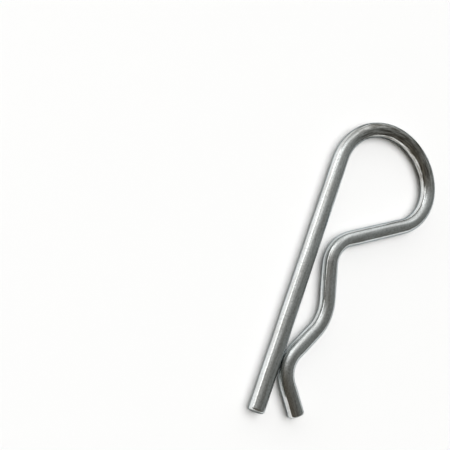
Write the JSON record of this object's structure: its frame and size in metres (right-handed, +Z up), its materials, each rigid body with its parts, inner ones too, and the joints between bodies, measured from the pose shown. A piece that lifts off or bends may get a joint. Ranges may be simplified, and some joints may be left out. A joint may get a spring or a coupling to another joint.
{
  "type": "hitch pin clip",
  "caption": "Hairpin-shaped spring wire clip with a straight leg, a round pull eye and a wavy leg that snaps over a shaft.",
  "frame": {"origin": "middle of the clip's outline, on the surface it lies on", "axes": "+X along the straight leg from its free end towards the eye, -Y the side of the wavy leg, +Z up from the surface"},
  "size_m": [0.0662, 0.0258, 0.0032],
  "materials": {
    "zinc_plated_wire": "bright zinc plating on drawn spring steel wire, with fine lengthwise draw marks"
  },
  "bodies": {
    "root": {"spring_wire": "zinc_plated_wire"}
  },
  "joints": []
}
